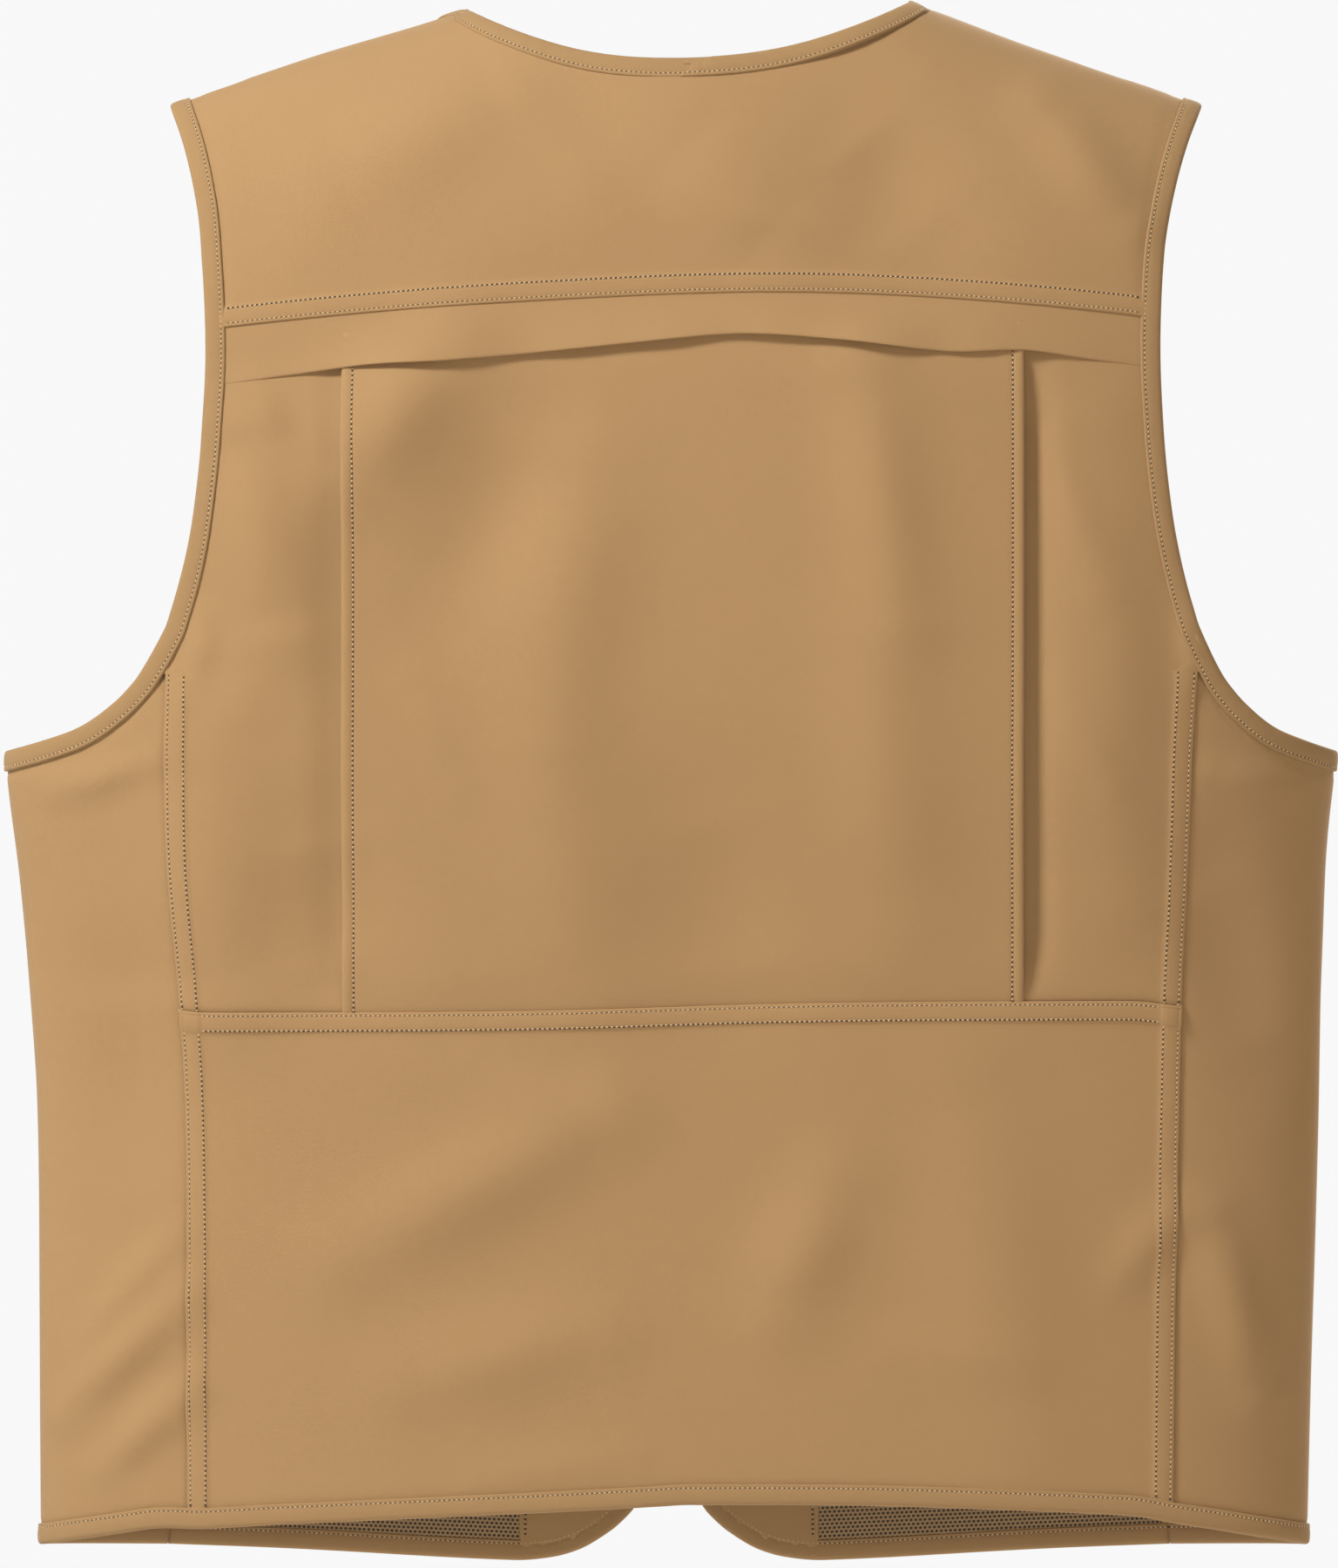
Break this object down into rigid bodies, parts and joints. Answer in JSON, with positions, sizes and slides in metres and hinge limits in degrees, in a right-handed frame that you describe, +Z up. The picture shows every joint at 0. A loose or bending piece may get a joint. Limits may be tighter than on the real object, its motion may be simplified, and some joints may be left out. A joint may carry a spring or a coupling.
{
  "type": "fishing vest",
  "caption": "Sleeveless cloth fishing vest with a caped back vent, action pleats, a mesh lining, flapped pockets and an open-ended front zip.",
  "frame": {"origin": "on the centre line, at the height where the shoulder lines meet the neck, in the middle of the shoulder line's thickness", "axes": "+Z up as worn, -Y the way the wearer faces, +X the wearer's left"},
  "size_m": [0.5982, 0.1623, 0.6996],
  "materials": {
    "shell_cloth": "matt, lightly peached khaki twill",
    "binding": "folded khaki tape, matt",
    "mesh_lining": "knitted polyester mesh, slight sheen",
    "webbing": "woven tape, slight sheen",
    "antique_brass": "antique, satin",
    "zip_nylon": "moulded, satin",
    "label": "woven label cloth, blank"
  },
  "bodies": {
    "root": {"yoke": "shell_cloth", "front_yoke_left": "shell_cloth", "front_yoke_right": "shell_cloth", "back_panel_center": "shell_cloth", "back_gusset_left": "shell_cloth", "back_gusset_right": "shell_cloth", "back_panel_lower": "shell_cloth", "side_panel_left": "shell_cloth", "side_panel_right": "shell_cloth", "vent_mesh": "mesh_lining", "back_lining": "mesh_lining", "neck_binding": "binding", "armhole_binding_left": "binding", "armhole_binding_right": "binding", "hem_binding": "binding", "hang_loop": "webbing", "neck_label": "label"},
    "vent_flap": {"vent_flap": "shell_cloth"},
    "front_left": {"front_panel_left": "shell_cloth", "front_facing_left": "shell_cloth", "front_lining_left": "mesh_lining", "front_edge_binding_left": "binding", "front_armhole_binding_left": "binding", "chest_pocket_left": "shell_cloth", "cargo_pocket_left": "shell_cloth", "chest_stud_left": "antique_brass", "cargo_stud_left_1": "antique_brass", "cargo_stud_left_2": "antique_brass", "zip_chain_left": "zip_nylon", "zip_tape_left": "webbing", "zip_retaining_box": "antique_brass", "d_ring_tab": "webbing"},
    "front_right": {"front_panel_right": "shell_cloth", "front_facing_right": "shell_cloth", "front_lining_right": "mesh_lining", "front_edge_binding_right": "binding", "front_armhole_binding_right": "binding", "chest_pocket_right": "shell_cloth", "cargo_pocket_right": "shell_cloth", "chest_stud_right": "antique_brass", "cargo_stud_right_1": "antique_brass", "cargo_stud_right_2": "antique_brass", "zip_chain_right": "zip_nylon", "zip_tape_right": "webbing", "zip_insertion_pin": "antique_brass"},
    "chest_flap_left": {"chest_flap_left": "shell_cloth", "chest_snap_left": "antique_brass"},
    "cargo_flap_left": {"cargo_flap_left": "shell_cloth", "cargo_snap_left_1": "antique_brass", "cargo_snap_left_2": "antique_brass"},
    "chest_flap_right": {"chest_flap_right": "shell_cloth", "chest_snap_right": "antique_brass"},
    "cargo_flap_right": {"cargo_flap_right": "shell_cloth", "cargo_snap_right_1": "antique_brass", "cargo_snap_right_2": "antique_brass"},
    "zip_slider": {"zip_slider": "antique_brass"},
    "zip_pull": {"zip_pull": "antique_brass"},
    "d_ring": {"d_ring": "antique_brass"}
  },
  "joints": [
    {"name": "front_left_swing", "type": "hinge", "parent": "root", "child": "front_left", "pos_m": [0.2255, -0.044, -0.45], "axis": [0, 0, 1], "range_deg": [0, 50], "stiffness_Nm_per_rad": 0.12},
    {"name": "front_right_swing", "type": "hinge", "parent": "root", "child": "front_right", "pos_m": [-0.2255, -0.044, -0.45], "axis": [0, 0, -1], "range_deg": [0, 50], "stiffness_Nm_per_rad": 0.12},
    {"name": "vent_flap_lift", "type": "hinge", "parent": "root", "child": "vent_flap", "pos_m": [0, 0.06391, -0.1288], "axis": [1, 0, 0], "range_deg": [0, 30], "stiffness_Nm_per_rad": 0.12},
    {"name": "chest_flap_left_lift", "type": "hinge", "parent": "front_left", "child": "chest_flap_left", "pos_m": [0.10272, -0.06685, -0.24], "axis": [-0.9976, -0.0698, 0], "range_deg": [0, 85]},
    {"name": "cargo_flap_left_lift", "type": "hinge", "parent": "front_left", "child": "cargo_flap_left", "pos_m": [0.1243, -0.06531, -0.455], "axis": [-0.9951, -0.099, 0], "range_deg": [0, 100]},
    {"name": "chest_flap_right_lift", "type": "hinge", "parent": "front_right", "child": "chest_flap_right", "pos_m": [-0.10272, -0.06685, -0.24], "axis": [-0.9976, 0.0698, 0], "range_deg": [0, 85]},
    {"name": "cargo_flap_right_lift", "type": "hinge", "parent": "front_right", "child": "cargo_flap_right", "pos_m": [-0.1243, -0.06531, -0.455], "axis": [-0.9951, 0.099, 0], "range_deg": [0, 100]},
    {"name": "zip_slide", "type": "slide", "parent": "front_left", "child": "zip_slider", "axis": [0, 0, 1], "range_m": [0, 0.4]},
    {"name": "zip_pull_swing", "type": "hinge", "parent": "zip_slider", "child": "zip_pull", "pos_m": [0.003, -0.06915, -0.62314], "axis": [-1, 0, 0], "range_deg": [0, 120]},
    {"name": "d_ring_swing", "type": "hinge", "parent": "front_left", "child": "d_ring", "pos_m": [0.11851, -0.06849, -0.2165], "axis": [-0.9966, -0.0825, 0], "range_deg": [0, 110]}
  ]
}
